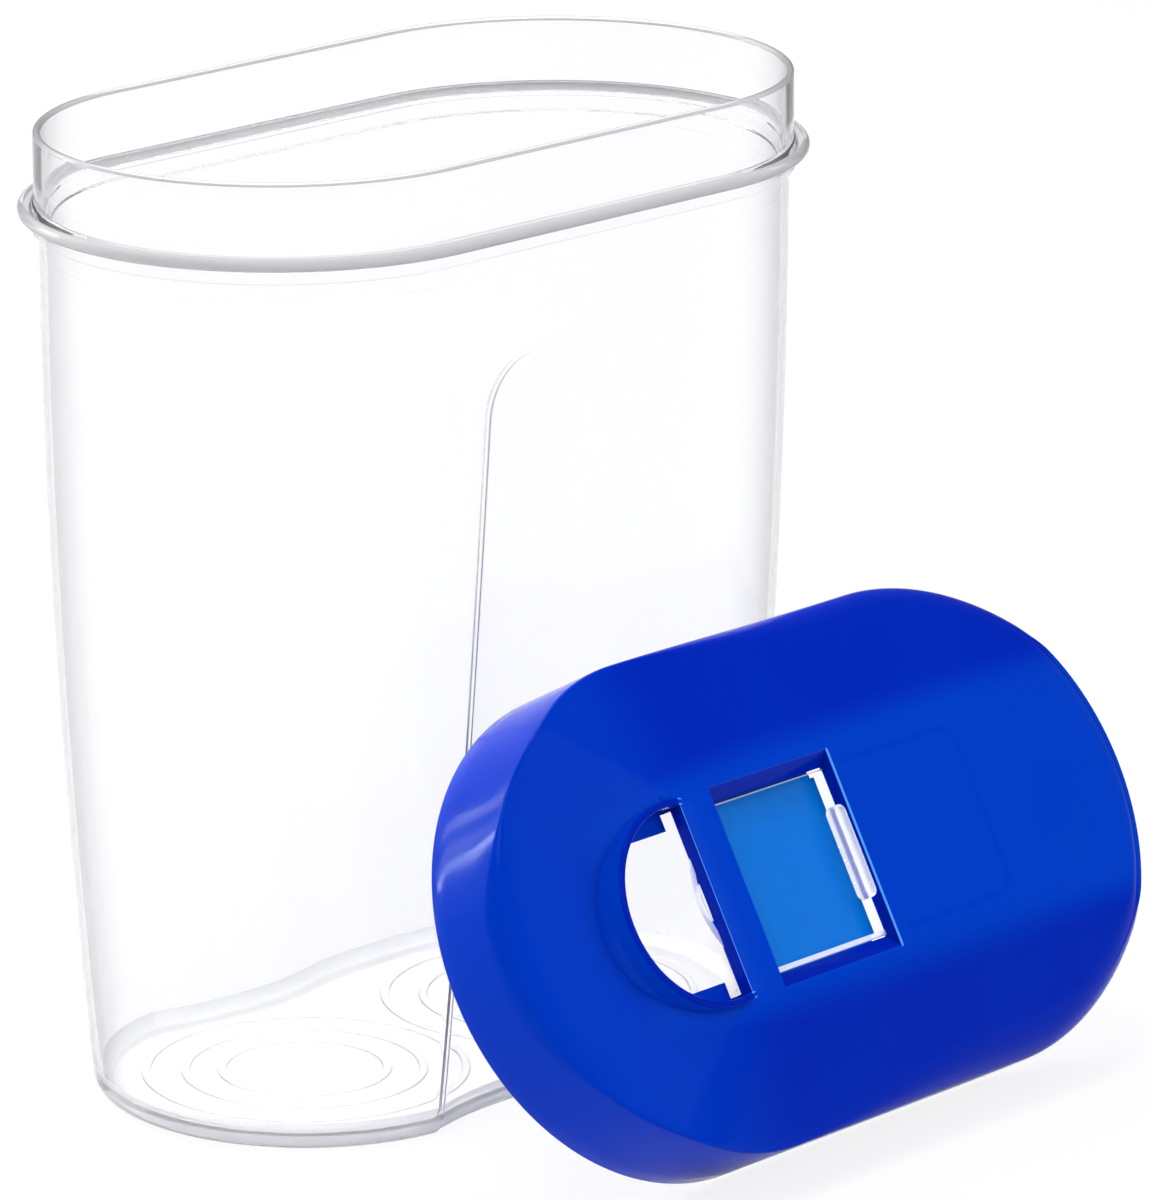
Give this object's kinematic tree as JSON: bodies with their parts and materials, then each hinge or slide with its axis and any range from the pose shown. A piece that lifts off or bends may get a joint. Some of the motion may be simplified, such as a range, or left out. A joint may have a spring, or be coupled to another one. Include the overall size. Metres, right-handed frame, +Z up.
{
  "type": "dry food container",
  "caption": "Clear oval tub with a beaded neck and grip recesses; blue slope-topped lid, off and leaning on it, with a pour spout closed by a slider",
  "frame": {"origin": "middle of the container's foot, on the surface it stands on", "axes": "+X along the container's long side, +Y towards the long side away from the lid, +Z up; the lid's pour end points to -X"},
  "size_m": [0.2216, 0.1869, 0.219],
  "materials": {
    "clear": "clear, polished",
    "blue": "translucent, glossy",
    "slider_clear": "clear, slightly milky"
  },
  "bodies": {
    "container": {"container": "clear"},
    "lid": {"lid": "blue"},
    "slider": {"slider": "slider_clear"}
  },
  "joints": [
    {"name": "lid_lift", "type": "slide", "parent": "container", "child": "lid", "axis": [0.038, -0.8712, 0.4894], "range_m": [0, 0.12]},
    {"name": "slider_slide", "type": "slide", "parent": "lid", "child": "slider", "axis": [-0.999, -0.0436, 0], "range_m": [0, 0.0245]}
  ]
}
